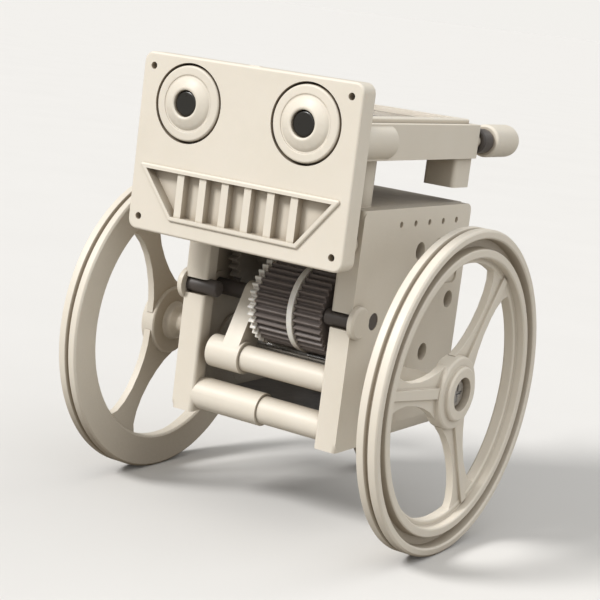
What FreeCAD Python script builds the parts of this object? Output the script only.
import FreeCAD, Part
import math
import os

# Solar racer: a palm-sized two-wheeled toy robot driven by a small solar panel.
# Millimetres.  +Z is up and the face looks along -Y.  Left and right are as seen
# by someone facing the robot, so right is +X.  The model is built with the axle
# at y = 0; on export it moves along Y so that the overall outline is centred on
# the origin, which lies on the ground.

os.makedirs("parts", exist_ok=True)
V = FreeCAD.Vector
SIDES = (-1, 1)         # left, right

# ---------------------------------------------------------- driving sizes
BREADTH = 0.93          # the helpers multiply every X by this; radii are not scaled
RUN = 0.05              # radial running clearance

WHEEL_R = 28.0          # also the axle height
WHEEL_XO = 34.9         # outer face of a wheel
WHEEL_XI = 30.7         # inner face of a wheel
RIM_RI = 22.1           # inside radius of the rim
SPOKES = 3
RIGHT_WHEEL_TURN = -36.0    # resting turn about the axle, degrees
LEFT_WHEEL_TURN = 28.0

PLATE_X = 18.4          # outer face of a side plate
PLATE_T = 2.0
PLATE_XI = PLATE_X - PLATE_T    # inner face of a side plate
BAR_X = 13.8            # inner edge of a plate's front bar
BAR_D = 2.9             # depth of the front bar
BODY_Y0, BODY_Y1 = -13.6, 24.3
BODY_Z0, BODY_Z1 = 16.0, 57.0
DECK_T = 2.0

FACE_W, FACE_H, FACE_T = 46.0, 29.8, 3.5
FACE_Y = -26.2          # front plane of the face
FACE_BACK = FACE_Y + FACE_T
FACE_Z0 = 48.2
EYE_X, EYE_Z, EYE_R = 12.4, FACE_Z0 + 22.2, 6.6
HOOK_X, HOOK_Z = 15.6, 51.2     # lower face hooks, held in the front bars
HOOK_R = 1.0

TRAY_X = 18.4
TRAY_Y0, TRAY_Y1 = -19.4, 24.3
TRAY_Z0, TRAY_Z1 = 65.2, 71.2
PANEL_X = 15.4          # half breadth of the panel's seat
PANEL_Y0, PANEL_Y1 = TRAY_Y0 + 1.9, TRAY_Y1 - 1.9
PANEL_Z = TRAY_Z0 + 3.1     # top of the ledge that carries the panel
POSTS = ((-11.4, -8.6), (11.4, -8.6))   # (x, y) of the deck posts and tray screws
PEG_X, PEG_Z, PEG_R = 17.0, 68.2, 3.0
PEG_Y1 = 38.6           # rounded end of the rear pegs
SPIGOT_R = 1.2          # tray spigots that carry the collars and rear pegs
SPIGOT_BORE = 1.23

# Centres across the robot are (y, z).
AXLE = (0.0, WHEEL_R)
UPPER_TUBE = (-11.0, 27.4)
LOWER_TUBE = (-10.7, 19.2)
REAR_TUBE = (20.6, 19.4)
NOTCH_PIN = (-12.1, 38.3)

# Gear train: axle gear - front shaft - idler - motor
MODULE = 0.5
FINE_MODULE = 0.4       # drum gears and the idler teeth that mesh with them
AXLE_TEETH, FRONT_TEETH = 32, 15
DRUM_TEETH, IDLER_SMALL_TEETH = 36, 14
IDLER_BIG_TEETH, MOTOR_TEETH = 31, 11
PRESSURE_ANGLE = math.radians(25.0)
ADDENDUM, DEDENDUM = 0.85, 1.15     # in modules
TOOTH_THINNING = 0.06   # taken off a tooth's thickness at the pitch circle
FLANK_POINTS = 4


def gear_centre(start, module, teeth, angle):
    """Centre that meshes with a gear at start; teeth is the sum of both gears'."""
    distance = module * teeth / 2.0
    return (start[0] + distance * math.cos(angle), start[1] + distance * math.sin(angle))


# Directions of the lines of centres; the tooth phases follow from them
FRONT_ANGLE = math.atan2(9.9, -6.33)
IDLER_ANGLE = math.atan2(5.92, 8.06)
MOTOR_ANGLE = 0.0
FRONT_SHAFT = gear_centre(AXLE, MODULE, AXLE_TEETH + FRONT_TEETH, FRONT_ANGLE)
IDLER = gear_centre(FRONT_SHAFT, FINE_MODULE, DRUM_TEETH + IDLER_SMALL_TEETH, IDLER_ANGLE)
MOTOR = gear_centre(IDLER, MODULE, IDLER_BIG_TEETH + MOTOR_TEETH, MOTOR_ANGLE)
MOTOR_Y, MOTOR_Z = MOTOR

Y_SHIFT = -(PEG_Y1 - WHEEL_R) / 2.0     # centres the outline on y = 0


# ---------------------------------------------------------------- helpers
def box(x0, x1, y0, y1, z0, z1):
    return Part.makeBox((x1 - x0) * BREADTH, y1 - y0, z1 - z0, V(x0 * BREADTH, y0, z0))


def side_box(side, x0, x1, *yz_limits):
    """Box between x0 and x1 on the right (side 1) or their mirror on the left (-1)."""
    low, high = sorted((side * x0, side * x1))
    return box(low, high, *yz_limits)


def cyl_x(x0, x1, centre, r):
    start = V(x0 * BREADTH, centre[0], centre[1])
    return Part.makeCylinder(r, (x1 - x0) * BREADTH, start, V(1, 0, 0))


def cyl_y(y0, y1, x, z, r):
    return Part.makeCylinder(r, y1 - y0, V(x * BREADTH, y0, z), V(0, 1, 0))


def cyl_z(z0, z1, x, y, r):
    return Part.makeCylinder(r, z1 - z0, V(x * BREADTH, y, z0), V(0, 0, 1))


def fuse(first, *rest):
    return first.multiFuse(list(rest)).removeSplitter()


def cut(shape, *tools):
    for tool in tools:
        shape = shape.cut(tool)
    return shape


def mirror(shape):
    return shape.mirror(V(0, 0, 0), V(1, 0, 0))


def polygon_face(points):
    return Part.Face(Part.Wire(Part.makePolygon(points + [points[0]])))


def prism(points, vector):
    return polygon_face(points).extrude(vector)


def soften(shape, make, size, pick):
    edges = [e for e in shape.Edges if pick(e)]
    if not edges:
        return shape
    # A blend the kernel can't make, or makes badly, leaves the edges sharp.
    try:
        result = make(size, edges)
        if result.isValid() and result.Volume > 0:
            return result
    except Exception:
        pass
    return shape


def fillet(shape, size, pick=lambda e: True):
    return soften(shape, shape.makeFillet, size, pick)


def chamfer(shape, size):
    return soften(shape, shape.makeChamfer, size, lambda e: True)


def along(edge, axis):
    """True for a straight edge parallel to the named axis."""
    if not isinstance(edge.Curve, Part.Line):
        return False
    span = edge.Vertexes[1].Point.sub(edge.Vertexes[0].Point)
    return abs(getattr(span, axis)) > 0.999 * span.Length


def at_y(edge, y):
    return abs(edge.CenterOfMass.y - y) < 0.05


def rounded_box(axis, x0, x1, y0, y1, z0, z1, r):
    """Box whose four edges along the named axis are rounded."""
    return fillet(box(x0, x1, y0, y1, z0, z1), r, lambda e: along(e, axis))


def link(x0, x1, a, ra, b, rb):
    """Link in the YZ plane round two circles."""
    distance = math.hypot(b[0] - a[0], b[1] - a[1])
    heading = math.atan2(b[1] - a[1], b[0] - a[0])
    spread = math.acos((ra - rb) / distance)

    def rim_point(c, r, angle):
        return V(x0 * BREADTH, c[0] + r * math.cos(angle), c[1] + r * math.sin(angle))

    up, down = heading + spread, heading - spread
    corners = [rim_point(a, ra, up), rim_point(b, rb, up),
               rim_point(b, rb, down), rim_point(a, ra, down)]
    web = prism(corners, V((x1 - x0) * BREADTH, 0, 0))
    return fuse(web, cyl_x(x0, x1, a, ra), cyl_x(x0, x1, b, rb))


def revolve_x(profile, centre):
    """Turn (x, radius) points about the X axis through centre."""
    y, z = centre
    face = polygon_face([V(x * BREADTH, y, z + r) for x, r in profile])
    return face.revolve(V(0, y, z), V(1, 0, 0), 360)


def revolve_y(profile, x, z):
    """Turn (y, radius) points about the Y axis through (x, z)."""
    x = x * BREADTH
    face = polygon_face([V(x + r, y, z) for y, r in profile])
    return face.revolve(V(x, 0, z), V(0, 1, 0), 360)


def gear_outline(teeth, module, phase):
    """Involute (radius, angle) points; a tooth is centred at angle phase."""
    pitch_r = module * teeth / 2.0
    base_r = pitch_r * math.cos(PRESSURE_ANGLE)
    tip_r = pitch_r + ADDENDUM * module
    root_r = pitch_r - DEDENDUM * module
    start_r = max(base_r, root_r)

    def involute(a):
        return math.tan(a) - a

    half_tooth = math.pi / (2 * teeth) - TOOTH_THINNING / (2.0 * pitch_r)
    flank = []
    for i in range(FLANK_POINTS):
        r = start_r + (tip_r - start_r) * i / (FLANK_POINTS - 1.0)
        slope = math.acos(min(1.0, base_r / r))
        flank.append((r, half_tooth + involute(PRESSURE_ANGLE) - involute(slope)))
    if root_r < start_r - 1e-6:
        flank.insert(0, (root_r, flank[0][1] + 0.01))

    points = []
    for k in range(teeth):
        middle = phase + 2 * math.pi * k / teeth
        points += [(r, middle - half) for r, half in flank]
        points += [(r, middle + half) for r, half in reversed(flank)]
    return points


def gear(x0, x1, centre, teeth, module, phase, bore=0.0):
    points = [V(x0 * BREADTH, centre[0] + r * math.cos(a), centre[1] + r * math.sin(a))
              for r, a in gear_outline(teeth, module, phase)]
    body = prism(points, V((x1 - x0) * BREADTH, 0, 0))
    if bore:
        body = body.cut(cyl_x(x0 - 1, x1 + 1, centre, bore))
    return body


def screw_z(x, y, base, head, shank, slot):
    """Upright cross-head screw.  head and shank are (z0, z1, radius) above base;
    slot is (half length, half width, floor above base)."""
    body = fuse(cyl_z(base + head[0], base + head[1], x, y, head[2]),
                cyl_z(base + shank[0], base + shank[1], x, y, shank[2]))
    half_l, half_w, floor = slot
    z0, z1 = base + floor, base + head[1] + 0.1
    return cut(body, box(x - half_l, x + half_l, y - half_w, y + half_w, z0, z1),
               box(x - half_w, x + half_w, y - half_l, y + half_l, z0, z1))


# ------------------------------------------------------------ side plates
ACCESSORY_HOLES = ((7.0, 49.2), (20.0, 39.6), (12.8, 30.6))    # (y, z)
HOLE_R = 1.6


def side_plate():
    """The +X plate without its tubes, outer field and hook hole."""
    xi = PLATE_XI
    plate = rounded_box("x", xi, PLATE_X, BODY_Y0, BODY_Y1, BODY_Z0, BODY_Z1, 1.6)
    bar = box(BAR_X, PLATE_X, BODY_Y0, BODY_Y0 + BAR_D, BODY_Z0, BODY_Z1)
    bar = fillet(bar, 0.7, lambda e: along(e, "z") and e.CenterOfMass.y < BODY_Y0 + 0.1)
    rear = box(xi - 1.2, xi + 0.2, BODY_Y1 - 2.0, BODY_Y1 - 0.01, BODY_Z0 + 1.6, BODY_Z1 - 3.2)
    deck_ledge = box(xi - 1.6, xi + 0.2, BODY_Y0 + BAR_D, BODY_Y1 - 0.5,
                     BODY_Z1 - 3.2, BODY_Z1 - DECK_T - 0.02)
    plate = fuse(plate, bar, rear, deck_ledge)

    # front notch with the pin's hole and outer boss
    boss = [(PLATE_X - 0.1, 0), (PLATE_X - 0.1, 2.8), (19.2, 2.8), (19.6, 2.4), (19.6, 0)]
    plate = fuse(plate, revolve_x(boss, NOTCH_PIN))
    pin_y, pin_z = NOTCH_PIN
    plate = cut(plate, cyl_x(BAR_X - 1, 19.0, NOTCH_PIN, 1.5),
                box(BAR_X - 1, PLATE_X - 0.15, BODY_Y0 - 2, pin_y - 0.2,
                    pin_z - 1.4, pin_z + 1.4))

    # raised inner rings and bores of the three shafts
    plate = fuse(plate, cyl_x(xi - 0.5, xi + 0.1, AXLE, 4.2),
                 cyl_x(xi - 0.4, xi + 0.1, FRONT_SHAFT, 2.6),
                 cyl_x(xi - 0.5, xi + 0.1, IDLER, 2.2))
    plate = cut(plate, cyl_x(xi - 2, PLATE_X + 1, AXLE, 2.5),
                cyl_x(xi - 2, PLATE_X + 1, FRONT_SHAFT, 1.5),
                cyl_x(xi - 2, PLATE_X - 0.6, IDLER, 1.02))
    for hole in ACCESSORY_HOLES:
        plate = cut(plate, cyl_x(xi - 3, PLATE_X + 1, hole, HOLE_R))
    # dimples under the top edge
    for i in range(5):
        plate = cut(plate, cyl_x(PLATE_X - 0.5, PLATE_X + 1, (-1.0 + 5.0 * i, 54.2), 0.55))
    # bevel along the rear part of the lower outer edge
    bevel = [V((PLATE_X + 0.1) * BREADTH, 4.0, BODY_Z0 - 0.1),
             V((PLATE_X + 0.1) * BREADTH, 4.0, BODY_Z0 + 2.8),
             V((PLATE_X - 1.5) * BREADTH, 4.0, BODY_Z0 - 0.1)]
    return cut(plate, prism(bevel, V(0, 30.0, 0)))


def side_plates():
    """(left, right) plates with the cross tubes that join them."""
    right = side_plate()
    left = mirror(right)
    # the lower and rear tubes have a socket half on the left, a spigot on the right
    sockets = (LOWER_TUBE, REAR_TUBE)
    left = fuse(left, *[cyl_x(-BAR_X - 3, 0.4, tube, 2.9) for tube in sockets])
    left = cut(left, *[cyl_x(-8.0, 1.4, tube, 1.95) for tube in sockets])
    tubes = []
    for tube in sockets:
        tubes += [cyl_x(0.5, BAR_X + 3, tube, 2.45), cyl_x(-7.6, 0.6, tube, 1.9)]
    tubes += [cyl_x(-4.6, BAR_X + 3, UPPER_TUBE, 2.3), cyl_x(-11.6, -4.5, UPPER_TUBE, 1.5)]
    right = fuse(right, *tubes)

    # shallow sunk field of the outer face
    field = rounded_box("x", PLATE_X - 0.35, PLATE_X + 0.5, 12.0, 21.9, 42.6, 51.2, 1.2)
    right = cut(right, field)
    left = cut(left, mirror(field))

    finished = []
    for side, plate in zip(SIDES, (left, right)):
        hole = cyl_y(BODY_Y0 - 1, BODY_Y0 + 2.6, side * HOOK_X, HOOK_Z, HOOK_R + 0.04)
        plate = cut(plate, hole)
        # two small ledges under the belly plate
        for y in (-4.0, 12.0):
            plate = fuse(plate, side_box(side, PLATE_XI - 1.3, PLATE_XI + 0.2,
                                         y, y + 2.4, 16.3, 17.18))
        finished.append(plate)
    return finished


def gear_bracket():
    """Link on the upper tube that carries the middle of the front shaft."""
    body = fuse(cyl_x(-12.0, -4.7, UPPER_TUBE, 2.9),
                link(-8.8, -5.2, UPPER_TUBE, 2.75, FRONT_SHAFT, 2.2))
    return cut(body, cyl_x(-13, -3, UPPER_TUBE, 1.55), cyl_x(-13, -3, FRONT_SHAFT, 1.5))


def front_pin(x_inner):
    return chamfer(cyl_x(x_inner, 18.9, NOTCH_PIN, 1.45), 0.3)


# ------------------------------------------------------------- solar tray
def panel_tray():
    tray = rounded_box("z", -TRAY_X, TRAY_X, TRAY_Y0, TRAY_Y1, TRAY_Z0, TRAY_Z1, 1.2)
    for side in SIDES:
        tray = fuse(tray, cyl_y(TRAY_Y0, -8.6, side * PEG_X, PEG_Z, PEG_R))
    # panel seat, hollow below it, opening through the floor
    tray = cut(tray,
               rounded_box("z", -PANEL_X - 0.1, PANEL_X + 0.1, PANEL_Y0 - 0.1, PANEL_Y1 + 0.1,
                           PANEL_Z, TRAY_Z1 + 1, 0.6),
               rounded_box("z", -14.5, 14.5, TRAY_Y0 + 2.8, TRAY_Y1 - 2.8,
                           TRAY_Z0 + 1.6, TRAY_Z1 + 1, 0.8),
               rounded_box("z", -6.4, 6.4, -13.0, 10.0, TRAY_Z0 - 1, TRAY_Z1, 2.0))
    block_x = 13.9
    for side in SIDES:
        # gap in the front lip, and the blind hole in the front peg
        tray = cut(tray, side_box(side, 7.2, 10.2, TRAY_Y0 - 1, TRAY_Y0 + 1.8,
                                  PANEL_Z, TRAY_Z1 + 1),
                   cyl_y(TRAY_Y0 - 1, TRAY_Y0 + 1.5, side * PEG_X, PEG_Z, 1.6))
        tray = fuse(tray, cyl_y(TRAY_Y1 - 0.6, 33.4, side * PEG_X, PEG_Z, SPIGOT_R))
        # hollow block under the rear corner, clear of the deck
        x = side * block_x
        tray = fuse(tray, rounded_box("z", x - 3.4, x + 3.4, 17.9, 24.2,
                                      TRAY_Z0 - 5.4, TRAY_Z0 + 0.5, 0.8))
        tray = cut(tray, box(x - 2.1, x + 2.1, 19.2, 22.9, TRAY_Z0 - 6, TRAY_Z0 - 1.0))
    for x, y in POSTS:
        tray = cut(tray, cyl_z(TRAY_Z0 - 1, TRAY_Z0 + 3, x, y, 1.1))
    # hole for the wires
    return cut(tray, cyl_z(TRAY_Z0 - 1, TRAY_Z0 + 3, -7.1, 18.9, 2.1))


def rear_peg(side):
    """Round-ended peg on the tray's rear spigot."""
    y0, flat_r, round_l, steps = 28.05, 0.6, 2.5, 6
    profile = [(y0, 0), (y0, PEG_R - 0.35), (y0 + 0.35, PEG_R)]
    for i in range(steps + 1):
        a = math.pi / 2 * i / steps
        profile.append((PEG_Y1 - round_l + round_l * math.sin(a),
                        flat_r + (PEG_R - flat_r) * math.cos(a)))
    profile.append((PEG_Y1, 0))
    return cut(revolve_y(profile, side * PEG_X, PEG_Z),
               cyl_y(27, 33.6, side * PEG_X, PEG_Z, SPIGOT_BORE))


def peg_collar(side):
    ring = chamfer(cyl_y(TRAY_Y1 + 0.05, 28.0, side * PEG_X, PEG_Z, 2.2), 0.25)
    return cut(ring, cyl_y(20, 30, side * PEG_X, PEG_Z, SPIGOT_BORE))


def tray_screws():
    return Part.makeCompound([
        screw_z(x, y, TRAY_Z0, head=(1.62, 2.9, 1.9), shank=(-3.6, 1.7, 0.85),
                slot=(1.2, 0.22, 2.4))
        for x, y in POSTS])


# ------------------------------------------------------------ solar panel
CELLS = 8
CELL_GAP = 0.5
CELL_MARGIN = 1.5       # from the panel's seat to the outer cells
CELL_W = (2 * PANEL_X - 2 * CELL_MARGIN - CELL_GAP * (CELLS - 1)) / CELLS


def panel_rect(inset):
    """Limits in X and Y of the panel, drawn in by inset on every side."""
    return (-PANEL_X + inset, PANEL_X - inset, PANEL_Y0 + inset, PANEL_Y1 - inset)


def panel_board():
    return rounded_box("z", *panel_rect(0.1), PANEL_Z + 0.02, PANEL_Z + 1.8, 0.7)


def panel_strips(first, last, x_start, x_end, top):
    """Strips at the cell pitch, from x_start to x_end past each cell's left edge."""
    strips = []
    for i in range(first, last):
        x = -PANEL_X + CELL_MARGIN + i * (CELL_W + CELL_GAP)
        strips.append(box(x + x_start, x + x_end, PANEL_Y0 + CELL_MARGIN,
                          PANEL_Y1 - CELL_MARGIN, PANEL_Z + 1.8, PANEL_Z + top))
    return Part.makeCompound(strips)


def panel_cover():
    return box(*panel_rect(0.4), PANEL_Z + 2.12, PANEL_Z + 2.7)


def panel_bezel():
    bezel = rounded_box("z", -PANEL_X - 0.9, PANEL_X + 0.9, PANEL_Y0 - 0.8, PANEL_Y1 + 0.8,
                        TRAY_Z1 + 0.02, TRAY_Z1 + 0.8, 1.0)
    bezel = fillet(bezel, 0.3, lambda e: e.CenterOfMass.z > TRAY_Z1 + 0.7)
    window = panel_rect(1.4)
    bezel = cut(bezel, rounded_box("z", *window, TRAY_Z1 - 1, TRAY_Z1 + 3, 0.8))
    # skirt that reaches down to the cover
    skirt = cut(box(*panel_rect(0.4), PANEL_Z + 2.72, TRAY_Z1 + 0.1),
                box(*window, PANEL_Z, TRAY_Z1 + 3))
    return fuse(bezel, skirt)


# ------------------------------------------------------------------- face
MOUTH_TOP, MOUTH_BOTTOM = FACE_Z0 + 10.6, FACE_Z0 + 3.3
MOUTH_TOP_X, MOUTH_BOTTOM_X = 19.7, 13.3    # half breadths
RIBS, RIB_PITCH, RIB_HALF_W = 6, 4.84, 0.75


def mouth_prism(y0, y1, grow):
    """Mouth trapezium with every side moved outward by grow."""
    x_top, x_bottom = MOUTH_TOP_X * BREADTH, MOUTH_BOTTOM_X * BREADTH
    lean = (x_top - x_bottom) / (MOUTH_TOP - MOUTH_BOTTOM)
    slant = math.sqrt(1 + lean * lean)
    x_bottom += grow * (slant - lean)
    x_top += grow * (slant + lean)
    z_bottom, z_top = MOUTH_BOTTOM - grow, MOUTH_TOP + grow
    return prism([V(-x_bottom, y0, z_bottom), V(x_bottom, y0, z_bottom),
                  V(x_top, y0, z_top), V(-x_top, y0, z_top)], V(0, y1 - y0, 0))


def face_plate():
    face = rounded_box("y", -FACE_W / 2, FACE_W / 2, FACE_Y, FACE_BACK,
                       FACE_Z0, FACE_Z0 + FACE_H, 1.7)
    face = fillet(face, 0.45, lambda e: at_y(e, FACE_Y))
    # raised rim round the recessed mouth
    rim_y = FACE_Y - 0.45
    rim = fillet(mouth_prism(rim_y, FACE_Y + 0.5, 0.8), 0.35,
                 lambda e: at_y(e, rim_y) or along(e, "y"))
    face = fuse(face, rim)
    face = cut(face, mouth_prism(FACE_Y - 2, FACE_Y + 1.5, 0))
    # upright ribs in the recess, almost level with the face
    ribs = []
    for i in range(RIBS):
        x = RIB_PITCH * (i - (RIBS - 1) / 2.0)
        ribs.append(box(x - RIB_HALF_W, x + RIB_HALF_W, FACE_Y - 0.05, FACE_Y + 1.6,
                        MOUTH_BOTTOM - 0.1, MOUTH_TOP + 0.1))
    face = fuse(face, *ribs)
    # eye seats, holes through them, and a small hole in each corner
    middle_z = FACE_Z0 + FACE_H / 2
    for side in SIDES:
        face = cut(face, cyl_y(FACE_Y - 1, FACE_Y + 2.6, side * EYE_X, EYE_Z, EYE_R),
                   cyl_y(FACE_Y - 1, FACE_BACK + 1, side * EYE_X, EYE_Z, 2.9))
        for z in (middle_z - 12.6, middle_z + 12.6):
            face = cut(face, cyl_y(FACE_Y - 1, FACE_BACK + 1, side * 20.7, z, 0.6))
    # stand-offs to the bars and to the tray, and hooks into the bars
    for side in SIDES:
        lower = cyl_y(FACE_BACK - 0.1, BODY_Y0 - 0.05, side * HOOK_X, HOOK_Z, 2.0)
        upper = cyl_y(FACE_BACK - 0.1, TRAY_Y0 - 0.05, side * 13.8, PEG_Z, 2.4)
        hook = cyl_y(BODY_Y0 - 0.1, BODY_Y0 + 2.4, side * HOOK_X, HOOK_Z, HOOK_R)
        face = fuse(face, lower, upper, hook)
    return face


EYE_RING_R = EYE_R - 0.4
# (y from the front plane of the face, radius)
EYE_PROFILE = (
    (2.55, 2.2), (2.55, EYE_RING_R), (0.1, EYE_RING_R), (-0.15, EYE_RING_R - 0.25),
    (-0.2, 4.75), (-0.05, 4.6), (-0.05, 4.35), (-0.3, 4.15),
    (-0.95, 2.75), (-1.0, 2.5), (-0.85, 2.2))


def eye(side):
    return revolve_y([(FACE_Y + y, r) for y, r in EYE_PROFILE], side * EYE_X, EYE_Z)


def pupil(side):
    front, back = FACE_Y - 0.6, FACE_BACK - 0.15
    stem = fillet(cyl_y(front, back, side * EYE_X, EYE_Z, 2.15), 0.5,
                  lambda e: at_y(e, front))
    return fuse(stem, cyl_y(FACE_Y + 2.6, back, side * EYE_X, EYE_Z, 2.8))


# ------------------------------------------------------- wheels and axle
AXLE_R = 1.48
# Profiles are (x, radius).
RIM_PROFILE = (
    (WHEEL_XI, RIM_RI + 0.4), (WHEEL_XI, WHEEL_R - 0.4), (WHEEL_XI + 0.35, WHEEL_R),
    (WHEEL_XI + 1.6, WHEEL_R), (WHEEL_XI + 1.85, WHEEL_R - 0.8),
    (WHEEL_XI + 2.25, WHEEL_R - 0.8), (WHEEL_XI + 2.5, WHEEL_R),
    (WHEEL_XO - 0.35, WHEEL_R), (WHEEL_XO, WHEEL_R - 0.4), (WHEEL_XO, WHEEL_R - 1.3),
    (WHEEL_XO - 0.25, WHEEL_R - 1.55), (WHEEL_XO - 2.2, WHEEL_R - 1.75),
    (WHEEL_XO - 2.2, RIM_RI + 2.75), (WHEEL_XO - 0.45, RIM_RI + 2.6),
    (WHEEL_XO - 0.25, RIM_RI + 2.4), (WHEEL_XO - 0.25, RIM_RI + 1.3),
    (WHEEL_XO - 0.5, RIM_RI + 1.05), (WHEEL_XO - 1.9, RIM_RI + 0.95),
    (WHEEL_XO - 1.9, RIM_RI + 0.2), (WHEEL_XO - 2.1, RIM_RI), (WHEEL_XI + 0.4, RIM_RI))
HUB_PROFILE = (
    (WHEEL_XI, 0), (WHEEL_XI, 6.0), (WHEEL_XI + 0.3, 6.3), (33.6, 6.3), (33.9, 6.0),
    (33.9, 4.7), (34.5, 4.7), (34.8, 4.4), (34.8, 0))
SLEEVE_PROFILE = (
    (19.6, 0), (19.6, 1.95), (19.8, 2.15), (28.4, 2.15), (29.4, 3.2),
    (WHEEL_XI + 0.1, 3.6), (WHEEL_XI + 0.1, 0))
# (distance from the axle, half width)
SPOKE_OUTLINE = (
    (4.5, 4.6), (7.0, 3.3), (9.6, 2.5), (12.5, 2.0), (15.5, 1.9), (18.2, 2.3),
    (20.4, 3.1), (22.0, 4.6), (22.9, 6.4))
SPOKE_RIB_OUTLINE = ((5.5, 0.95), (22.7, 0.8))


def spoke_layer(angle, outline, x, thickness):
    """Outline mirrored about the spoke's middle line, extruded outward from x."""
    c, s = math.cos(angle), math.sin(angle)
    sides = list(outline) + [(r, -w) for r, w in reversed(outline)]
    points = [V(x * BREADTH, AXLE[0] + c * r - s * w, AXLE[1] + s * r + c * w)
              for r, w in sides]
    return prism(points, V(thickness * BREADTH, 0, 0))


def wheel():
    """The +X wheel before its resting turn."""
    spokes = []
    for k in range(SPOKES):
        angle = math.radians(90 + 360.0 / SPOKES * k)
        spokes += [spoke_layer(angle, SPOKE_OUTLINE, 31.3, 1.5),
                   spoke_layer(angle, SPOKE_RIB_OUTLINE, 32.7, 0.7)]
    body = fuse(revolve_x(RIM_PROFILE, AXLE), revolve_x(HUB_PROFILE, AXLE),
                revolve_x(SLEEVE_PROFILE, AXLE), *spokes)
    # axle bore and screw recess
    return cut(body, cyl_x(19.0, 32.6, AXLE, 1.5), cyl_x(32.5, 36, AXLE, 2.9))


def turned_wheel(shape, angle):
    shape = shape.copy()
    shape.rotate(V(0, *AXLE), V(1, 0, 0), angle)
    return shape


def axle():
    return chamfer(cyl_x(-32.55, 32.55, AXLE, AXLE_R), 0.25)


def wheel_screws():
    head_x = 33.7
    y, z = AXLE
    screw = fuse(cyl_x(32.65, head_x, AXLE, 2.4), cyl_x(32.58, 32.7, AXLE, 1.2))
    screw = fillet(screw, 0.35, lambda e: abs(e.CenterOfMass.x - head_x * BREADTH) < 0.05)
    screw = cut(screw, box(33.3, 35, y - 1.6, y + 1.6, z - 0.28, z + 0.28),
                box(33.3, 35, y - 0.28, y + 0.28, z - 1.6, z + 1.6))
    return Part.makeCompound([screw, mirror(screw)])


def axle_bush():
    """Flanged bush in the +X side plate."""
    body = fuse(cyl_x(15.8, 18.5, AXLE, 2.46), cyl_x(PLATE_X + 0.02, PLATE_X + 0.8, AXLE, 3.4))
    return cut(body, cyl_x(15, 20, AXLE, AXLE_R + RUN))


# ------------------------------------------------------------------ gears
DRUM_X0, DRUM_X1 = -2.2, 5.0
DRUM2_X0, DRUM2_X1 = 6.2, 12.0
DRUM_BORE = 1.47
IDLER_PIN_R = 1.0
IDLER_HUB_R = 1.95


def axle_gear():
    return fuse(gear(12.9, 15.1, AXLE, AXLE_TEETH, MODULE,
                     FRONT_ANGLE + math.pi / AXLE_TEETH, 1.5),
                cut(cyl_x(11.6, 13.0, AXLE, 3.0), cyl_x(11, 16, AXLE, 1.5)))


def front_shaft():
    return fuse(cyl_x(-18.3, 18.3, FRONT_SHAFT, 1.45),
                gear(12.4, 15.6, FRONT_SHAFT, FRONT_TEETH, MODULE, FRONT_ANGLE + math.pi))


def drum_gear(x0, x1, module=FINE_MODULE, turn=0.0):
    return gear(x0, x1, FRONT_SHAFT, DRUM_TEETH, module, IDLER_ANGLE + turn, DRUM_BORE)


def right_gear_disc():
    """Plain disc between the two drum gears."""
    return cut(cyl_x(DRUM_X1 + 0.02, DRUM2_X0 - 0.02, FRONT_SHAFT, 7.8),
               cyl_x(-9, 20, FRONT_SHAFT, DRUM_BORE))


def idler_gear():
    small_phase = IDLER_ANGLE + math.pi + math.pi / IDLER_SMALL_TEETH
    body = fuse(gear(-14.6, -12.7, IDLER, IDLER_BIG_TEETH, MODULE, MOTOR_ANGLE),
                cyl_x(-15.7, -14.5, IDLER, IDLER_HUB_R),
                cyl_x(-12.8, DRUM_X0 + 0.4, IDLER, IDLER_HUB_R),
                gear(DRUM_X0 + 0.3, DRUM_X1 - 0.3, IDLER, IDLER_SMALL_TEETH, FINE_MODULE,
                     small_phase))
    return cut(body, cyl_x(-20, 20, IDLER, IDLER_PIN_R + RUN))


def idler_spacer():
    return cut(cyl_x(DRUM_X1 + 0.1, 15.8, IDLER, 1.7), cyl_x(0, 20, IDLER, 1.01))


# ------------------------------------------------------------------ motor
CAN_X0, CAN_X1 = -11.5, 4.5
CAN_R = 7.2
CAN_FLAT = 6.0          # half height between the flats
CAN_WALL = 0.7
MOTOR_SHAFT_R = 0.75
TERMINAL_Y = 4.4        # either side of the motor's centre
SADDLE_SCREWS_X = (-7.2, 0.8)


def obround(x0, x1, r, half_height):
    """Cylinder on the motor's centre with flats above and below."""
    return cyl_x(x0, x1, MOTOR, r).common(
        box(x0 - 1, x1 + 1, MOTOR_Y - 20, MOTOR_Y + 20,
            MOTOR_Z - half_height, MOTOR_Z + half_height))


def motor_can():
    can = cut(obround(CAN_X0, CAN_X1 - 2.0, CAN_R, CAN_FLAT),
              obround(CAN_X0 + CAN_WALL, CAN_X1, CAN_R - CAN_WALL, CAN_FLAT - CAN_WALL))
    can = fuse(can, cut(cyl_x(CAN_X0 - 0.6, CAN_X0 + 0.1, MOTOR, 2.2),
                        cyl_x(CAN_X0 - 2, CAN_X0 + 2, MOTOR, 1.2)))
    return cut(can, cyl_x(CAN_X0 - 2, CAN_X0 + 2, MOTOR, MOTOR_SHAFT_R + RUN))


def motor_end_cap():
    return cut(obround(CAN_X1 - 1.98, CAN_X1, CAN_R, CAN_FLAT),
               cyl_x(CAN_X1 - 3, CAN_X1 - 0.8, MOTOR, MOTOR_SHAFT_R + RUN))


def motor_terminals():
    tabs = []
    for y in (MOTOR_Y - TERMINAL_Y, MOTOR_Y + TERMINAL_Y):
        tabs.append(rounded_box("y", CAN_X1 + 0.02, CAN_X1 + 2.6, y - 0.2, y + 0.2,
                                MOTOR_Z - 1.0, MOTOR_Z + 1.0, 0.4))
    return Part.makeCompound(tabs)


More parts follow.
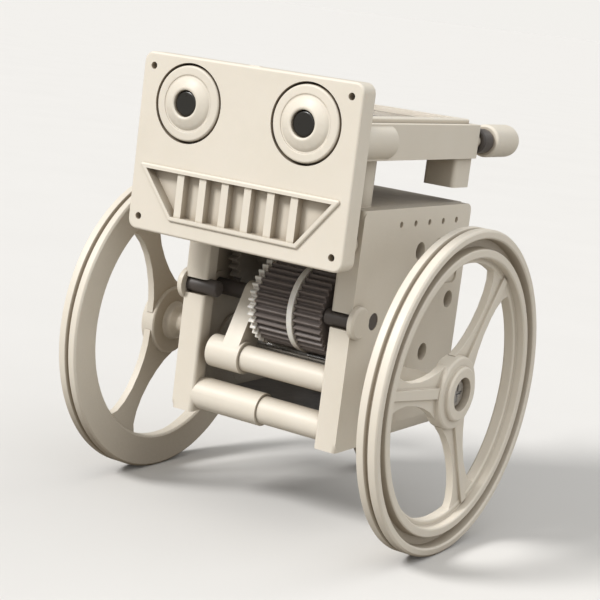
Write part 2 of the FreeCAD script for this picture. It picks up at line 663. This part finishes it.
def motor_magnets():
    return cut(obround(CAN_X0 + 1.6, CAN_X1 - 3.4, CAN_R - 0.75, 5.2),
               cyl_x(CAN_X0, CAN_X1, MOTOR, 5.4),
               box(CAN_X0, CAN_X1, MOTOR_Y - 4.0, MOTOR_Y + 4.0, MOTOR_Z - 9, MOTOR_Z + 9))


def motor_armature():
    core = cyl_x(CAN_X0 + 2.0, CAN_X1 - 4.6, MOTOR, 4.9)
    for k in range(3):
        a = 2 * math.pi * k / 3
        slot = (MOTOR_Y + 4.3 * math.cos(a), MOTOR_Z + 4.3 * math.sin(a))
        core = cut(core, cyl_x(CAN_X0, CAN_X1, slot, 1.3))
    return fuse(core, cyl_x(CAN_X1 - 4.7, CAN_X1 - 2.3, MOTOR, 1.6),
                cyl_x(-15.5, CAN_X1 - 0.9, MOTOR, MOTOR_SHAFT_R))


def motor_saddle():
    """Saddle over the top and rear of the motor, hung from the deck."""
    shell = cut(obround(-9.6, 3.2, CAN_R + 1.3, CAN_FLAT + 1.3),
                obround(-12, 6, CAN_R + 0.05, CAN_FLAT + 0.05))
    top = box(-10, 4, MOTOR_Y - 12, MOTOR_Y + 12, MOTOR_Z + 3.0, MOTOR_Z + 12)
    rear = box(-10, 4, MOTOR_Y + 2.0, MOTOR_Y + 12, MOTOR_Z - 12, MOTOR_Z + 12)
    saddle = shell.common(fuse(top, rear))
    saddle = fuse(saddle, box(-9.6, 3.2, MOTOR_Y - 3.0, MOTOR_Y + 3.0,
                              MOTOR_Z + 7.0, BODY_Z1 - DECK_T - 0.02))
    for x in SADDLE_SCREWS_X:
        saddle = cut(saddle, cyl_z(MOTOR_Z + 7.6, BODY_Z1, x, MOTOR_Y, 0.7))
    return saddle


def saddle_screws():
    return Part.makeCompound([
        screw_z(x, MOTOR_Y, BODY_Z1, head=(0.02, 1.1, 1.7), shank=(-4.0, 0.1, 0.68),
                slot=(1.1, 0.2, 0.7))
        for x in SADDLE_SCREWS_X])


# ---------------------------------------------------- deck and belly plate
def top_deck():
    z0 = BODY_Z1 - DECK_T
    x, front_x = PLATE_XI - 0.1, BAR_X - 0.1
    deck = box(-x, x, BODY_Y0 + BAR_D + 0.1, BODY_Y1 - 0.3, z0, BODY_Z1)
    deck = fuse(deck, box(-front_x, front_x, BODY_Y0 + 0.2, BODY_Y0 + BAR_D + 0.2, z0, BODY_Z1))
    for x, y in POSTS:
        deck = fuse(deck, cyl_z(BODY_Z1, TRAY_Z0 - 0.02, x, y, 3.9))
        deck = cut(deck, cyl_z(TRAY_Z0 - 4.0, TRAY_Z0 + 1, x, y, 0.88))
    # hole for the wires, then the saddle screws' holes
    deck = cut(deck, cyl_z(BODY_Z1 - 3, BODY_Z1 + 1, -6.9, 21.2, 1.9))
    for x in SADDLE_SCREWS_X:
        deck = cut(deck, cyl_z(BODY_Z1 - 3, BODY_Z1 + 1, x, MOTOR_Y, 0.8))
    return deck


def belly_plate():
    """Floor with two low cross ribs, on the ledges of the side plates."""
    x = PLATE_XI - 0.1
    return fuse(rounded_box("z", -x, x, -6.6, 16.2, 17.2, 18.4, 1.0),
                box(-6.0, 6.0, -6.0, -4.8, 18.3, 19.0),
                box(-6.0, 6.0, 14.4, 15.6, 18.3, 20.0))


# ------------------------------------------------------------------ wires
WIRE_R = 0.5
WIRE_X = CAN_X1 + 3.3   # start, just past the terminals
WIRE_TOP = PANEL_Z - 0.5
# (x, y, z) from a motor terminal to the underside of the panel
RED_PATH = (
    (WIRE_X, MOTOR_Y - TERMINAL_Y, MOTOR_Z), (CAN_X1 + 4.8, MOTOR_Y - 2.6, MOTOR_Z + 3.4),
    (CAN_X1 + 2.6, 17.4, 52.2), (0.0, 19.4, 53.2), (-5.2, 20.2, 53.9), (-6.3, 20.6, 56.0),
    (-6.5, 20.2, 60.5), (-6.5, 18.9, TRAY_Z0 + 0.8), (-6.5, 18.5, WIRE_TOP))
BLACK_PATH = (
    (WIRE_X, MOTOR_Y + TERMINAL_Y, MOTOR_Z), (CAN_X1 + 5.0, MOTOR_Y + 6.0, MOTOR_Z + 2.6),
    (CAN_X1 + 2.8, 20.6, 50.6), (0.0, 22.0, 52.8), (-6.0, 22.1, 53.6), (-7.5, 21.8, 56.0),
    (-7.9, 21.3, 60.5), (-7.7, 20.0, TRAY_Z0 + 0.8), (-7.7, 19.5, WIRE_TOP))


def wire(path):
    points = [V(x * BREADTH, y, z) for x, y, z in path]
    curve = Part.BSplineCurve()
    curve.interpolate(points)
    start_direction = curve.tangent(curve.FirstParameter)[0]
    section = Part.Wire(Part.makeCircle(WIRE_R, points[0], start_direction))
    return Part.Wire(curve.toShape()).makePipeShell([section], True, False)


# -------------------------------------------------------------- tail skid
FOOT_R = 1.6
FOOT = (35.0, FOOT_R)


def tail_skid():
    """Slotted arm that clips on the wide half of the rear tube."""
    y, z = REAR_TUBE
    bore = cyl_x(-10, 5, REAR_TUBE, 2.95)
    tail = link(-4.3, -1.3, REAR_TUBE, 2.6, FOOT, FOOT_R)
    tail = cut(tail, link(-5, 0, (24.6, 14.2), 0.8, (31.2, 6.3), 0.6), bore)
    tail = fuse(tail, cut(cyl_x(-4.9, -0.7, REAR_TUBE, 4.4), bore))
    # mouth of the clip, at the front
    tail = cut(tail, box(-10, 5, y - 5, y - 1.9, z - 1.7, z + 5))
    return fuse(tail, fillet(cyl_x(-4.9, -0.7, FOOT, FOOT_R), 0.6))


# --------------------------------------------------------------- assembly
left_plate, right_plate = side_plates()
right_wheel = wheel()
right_bush = axle_bush()

pieces = {
    "left_side_plate": left_plate,
    "right_side_plate": right_plate,
    "gear_bracket": gear_bracket(),
    "right_front_pin": front_pin(12.3),
    "left_front_pin": mirror(front_pin(11.6)),
    "panel_tray": panel_tray(),
    "tray_screws": tray_screws(),
    "panel_board": panel_board(),
    "solar_cells": panel_strips(0, CELLS, 0.0, CELL_W, 2.1),
    "cell_busbars": panel_strips(1, CELLS, 0.1 - CELL_GAP, -0.1, 2.05),
    "panel_cover": panel_cover(),
    "panel_bezel": panel_bezel(),
    "face_plate": face_plate(),
    "right_wheel": turned_wheel(right_wheel, RIGHT_WHEEL_TURN),
    "left_wheel": turned_wheel(mirror(right_wheel), LEFT_WHEEL_TURN),
    "axle": axle(),
    "wheel_screws": wheel_screws(),
    "right_axle_bush": right_bush,
    "left_axle_bush": mirror(right_bush),
    "axle_gear": axle_gear(),
    "front_shaft": front_shaft(),
    "drum_gear": drum_gear(DRUM_X0, DRUM_X1),
    "second_drum_gear": drum_gear(DRUM2_X0, DRUM2_X1, turn=math.pi / DRUM_TEETH),
    "left_gear_disc": drum_gear(DRUM_X0 - 1.3, DRUM_X0 - 0.02, module=0.42),
    "right_gear_disc": right_gear_disc(),
    "idler_gear": idler_gear(),
    "idler_pin": cyl_x(-17.7, 17.7, IDLER, IDLER_PIN_R),
    "idler_spacer": idler_spacer(),
    "motor_can": motor_can(),
    "motor_end_cap": motor_end_cap(),
    "motor_terminals": motor_terminals(),
    "motor_magnets": motor_magnets(),
    "motor_armature": motor_armature(),
    "motor_pinion": gear(-15.3, -12.3, MOTOR, MOTOR_TEETH, MODULE,
                         MOTOR_ANGLE + math.pi + math.pi / MOTOR_TEETH, 0.76),
    "motor_saddle": motor_saddle(),
    "saddle_screws": saddle_screws(),
    "top_deck": top_deck(),
    "belly_plate": belly_plate(),
    "red_wire": wire(RED_PATH),
    "black_wire": wire(BLACK_PATH),
    "tail_skid": tail_skid(),
}
for side, side_name in zip(SIDES, ("left", "right")):
    pieces[side_name + "_rear_peg"] = rear_peg(side)
    pieces[side_name + "_peg_collar"] = peg_collar(side)
    pieces[side_name + "_eye"] = eye(side)
    pieces[side_name + "_pupil"] = pupil(side)

for name, shape in pieces.items():
    placed = shape.copy()
    placed.translate(V(0, Y_SHIFT, 0))
    solids = placed.Solids
    result = solids[0] if len(solids) == 1 else Part.makeCompound(solids)
    result.exportStep("parts/" + name + ".step")
